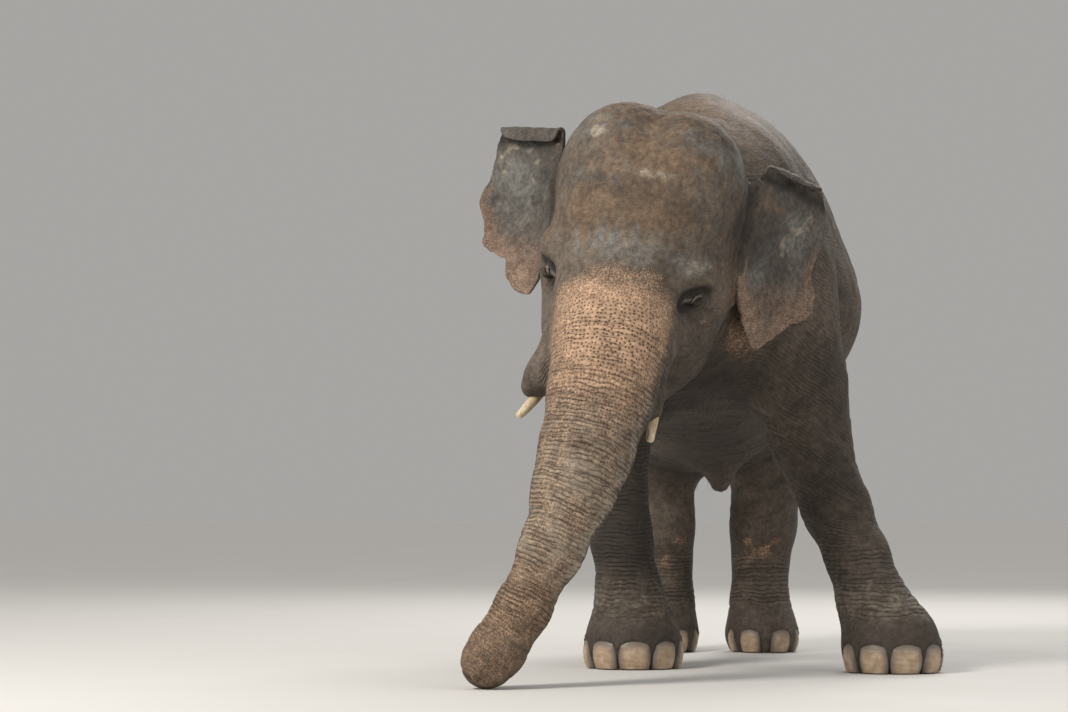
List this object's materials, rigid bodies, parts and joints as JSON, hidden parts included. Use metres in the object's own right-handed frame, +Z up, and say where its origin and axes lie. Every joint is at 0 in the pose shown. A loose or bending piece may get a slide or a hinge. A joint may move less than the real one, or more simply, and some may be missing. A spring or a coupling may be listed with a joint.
{
  "type": "asian elephant",
  "caption": "Life-size still model of an Asian elephant standing with one foreleg set out to the side, head lowered and trunk resting on the ground.",
  "frame": {"origin": "on the floor, under the middle of the whole animal's bounding box", "axes": "+Z up, the animal faces -Y, its left side is at +X"},
  "size_m": [1.9702, 3.5946, 2.5329],
  "materials": {
    "skin": "matt grey-brown wrinkled hide, dusty",
    "face_skin": "matt hide with pink freckled patches on the face and trunk",
    "ear_skin": "matt thin hide, pink and speckled towards the margin",
    "nail": "matt tan horn",
    "ivory": "satin cream ivory",
    "eye": "wet dark brown",
    "tail_hair": "coarse black bristle"
  },
  "bodies": {
    "root": {"torso": "skin", "neck": "skin", "head": "face_skin", "lower_jaw": "face_skin", "trunk_upper": "face_skin", "trunk_middle": "face_skin", "trunk_lower": "face_skin", "foreleg_left": "skin", "forefoot_left": "skin", "foreleg_right": "skin", "forefoot_right": "skin", "hindleg_left": "skin", "hindfoot_left": "skin", "hindleg_right": "skin", "hindfoot_right": "skin", "tail": "skin", "tail_tuft": "tail_hair", "ear_left": "ear_skin", "ear_right": "ear_skin", "eye_left": "eye", "eye_right": "eye", "tusk_left": "ivory", "tusk_right": "ivory", "nail_forefoot_left_1": "nail", "nail_forefoot_left_2": "nail", "nail_forefoot_left_3": "nail", "nail_forefoot_left_4": "nail", "nail_forefoot_left_5": "nail", "nail_forefoot_right_1": "nail", "nail_forefoot_right_2": "nail", "nail_forefoot_right_3": "nail", "nail_forefoot_right_4": "nail", "nail_forefoot_right_5": "nail", "nail_hindfoot_left_1": "nail", "nail_hindfoot_left_2": "nail", "nail_hindfoot_left_3": "nail", "nail_hindfoot_left_4": "nail", "nail_hindfoot_right_1": "nail", "nail_hindfoot_right_2": "nail", "nail_hindfoot_right_3": "nail", "nail_hindfoot_right_4": "nail"}
  },
  "joints": []
}
